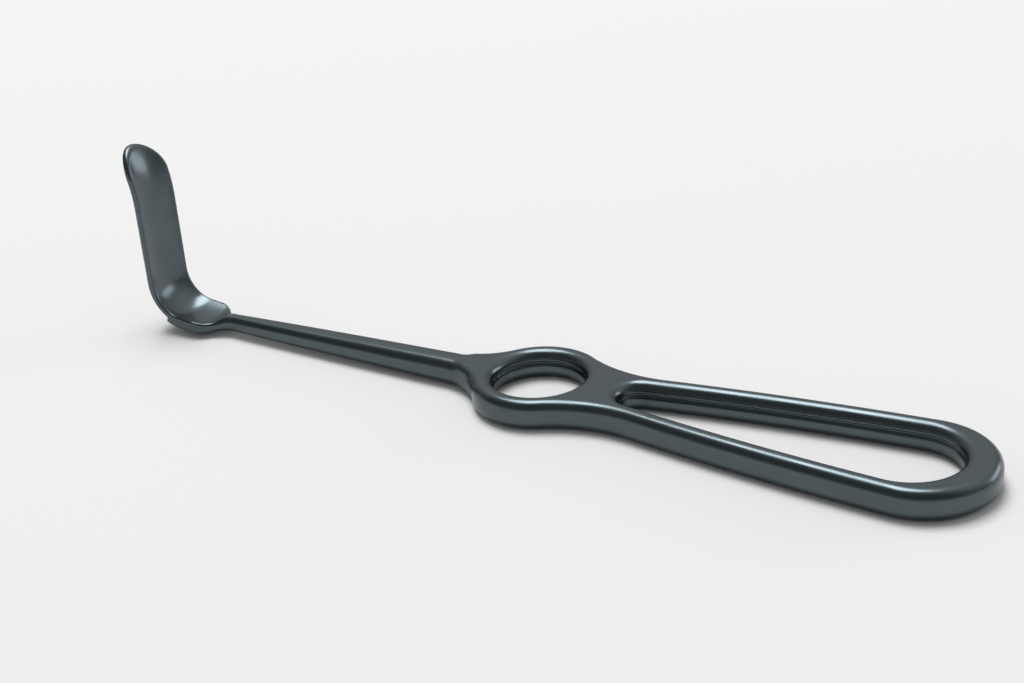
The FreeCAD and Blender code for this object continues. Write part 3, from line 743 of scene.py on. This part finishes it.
def set_room(scene, studio):
    """The room: white to the camera, even light on matt surfaces, a studio mirrored in steel.

    The mirrored room brightens with height behind the object. Behind the camera it is white at the
    horizon and dark above it.
    """
    world = bpy.data.worlds.new("Room")
    scene.world = world
    world.use_nodes = True
    tree = world.node_tree
    tree.nodes.clear()
    output = add_node(tree, "ShaderNodeOutputWorld", (1300, 0))
    ray = add_node(tree, "ShaderNodeLightPath", (-300, 500))
    way = add_node(tree, "ShaderNodeTexCoord", (-900, 0))
    parts = add_node(tree, "ShaderNodeSeparateXYZ", (-700, 0))
    tree.links.new(way.outputs["Generated"], parts.inputs["Vector"])

    soft = {"interpolation_type": "SMOOTHSTEP"}
    height = parts.outputs["Z"]
    near_tones, far_tones = (HORIZON, studio.near_side), (studio.far_low, studio.far_high)
    depth = stretch(tree, (-400, 100), parts.outputs["Y"], ROOM_DEPTH, (0.0, 1.0), **soft)
    near = stretch(tree, (-400, -200), height, NEAR_HEIGHTS, near_tones, **soft)
    far = stretch(tree, (-400, -500), height, FAR_HEIGHTS, far_tones, **soft)
    studio_wall = choose(tree, (0, 0), depth, near, far)

    mirrored = add_node(tree, "ShaderNodeMath", (100, 400), operation="MAXIMUM")
    tree.links.new(ray.outputs["Is Glossy Ray"], mirrored.inputs[0])
    tree.links.new(ray.outputs["Is Transmission Ray"], mirrored.inputs[1])
    room = choose(tree, (400, 100), mirrored.outputs["Value"], studio.room_light, studio_wall)
    seen = choose(tree, (700, 100), ray.outputs["Is Camera Ray"], room, 1.0)
    glow = add_node(tree, "ShaderNodeBackground", (1000, 0))
    tree.links.new(seen, glow.inputs["Strength"])
    tree.links.new(glow.outputs["Background"], output.inputs["Surface"])


def set_camera(scene, lens):
    """The photograph's viewpoint."""
    lens_data = bpy.data.cameras.new("Camera")
    lens_data.lens, lens_data.sensor_width = lens, SENSOR_WIDTH
    lens_data.clip_start, lens_data.clip_end = CLIP_START, CLIP_END
    camera = bpy.data.objects.new("Camera", lens_data)
    turn = Matrix((CAMERA_RIGHT, CAMERA_UP, CAMERA_BACK)).transposed().to_4x4()
    camera.matrix_world = Matrix.Translation(Vector(CAMERA_PLACE)) @ turn
    scene.collection.objects.link(camera)
    scene.camera = camera


class RETRACTOR_OT_build_stage(bpy.types.Operator):
    """Set the pale floor, the room light, the lamps and the camera"""

    bl_idname = "retractor.build_stage"
    bl_label = "Build Stage"

    def execute(self, context):
        scene = context.scene
        studio = scene.retractor_studio
        reach, low = FLOOR_REACH, CAD_BOX[0][2]
        corners = [(-reach, -reach, low), (reach, -reach, low), (reach, reach, low)]
        corners.append((-reach, reach, low))
        mesh = bpy.data.meshes.new("floor")
        mesh.from_pydata(corners, [], [(0, 1, 2, 3)])
        floor = bpy.data.objects.new("floor", mesh)
        scene.collection.objects.link(floor)
        mesh.materials.append(pale_floor(studio.floor_colour))
        set_room(scene, studio)
        area_lamp("top_lamp", studio.top_lamp, **TOP_LAMP)
        area_lamp("back_lamp", studio.back_lamp, **BACK_LAMP)
        set_camera(scene, studio.lens)
        scene.view_settings.view_transform = "Standard"
        return {"FINISHED"}


class RETRACTOR_PT_panel(bpy.types.Panel):
    """Retractor builder"""

    bl_idname = "RETRACTOR_PT_panel"
    bl_label = "Retractor"
    bl_space_type = "VIEW_3D"
    bl_region_type = "UI"
    bl_category = "Retractor"

    def draw(self, context):
        layout = self.layout
        layout.operator(RETRACTOR_OT_build_skin.bl_idname)
        layout.operator(RETRACTOR_OT_build_stage.bl_idname)
        for name in GROUPS:
            group = getattr(context.scene, name)
            box = layout.box()
            box.label(text=group.bl_rna.name)
            for prop in group.bl_rna.properties:
                if not prop.is_readonly and prop.identifier != "name":
                    box.prop(group, prop.identifier)


GROUPS = {
    "retractor_handle": RetractorHandle,
    "retractor_shaft": RetractorShaft,
    "retractor_blade": RetractorBlade,
    "retractor_steel": RetractorSteel,
    "retractor_studio": RetractorStudio,
}
OPERATORS = (RETRACTOR_OT_build_skin, RETRACTOR_OT_build_stage)
CLASSES = (*GROUPS.values(), *OPERATORS, RETRACTOR_PT_panel)


def register():
    for item in CLASSES:
        bpy.utils.register_class(item)
    for name, group in GROUPS.items():
        setattr(bpy.types.Scene, name, PointerProperty(type=group))


def unregister():
    for name in GROUPS:
        delattr(bpy.types.Scene, name)
    for item in reversed(CLASSES):
        bpy.utils.unregister_class(item)


def main():
    register()
    bpy.ops.retractor.build_skin()
    bpy.ops.retractor.build_stage()


if __name__ == "__main__":
    main()
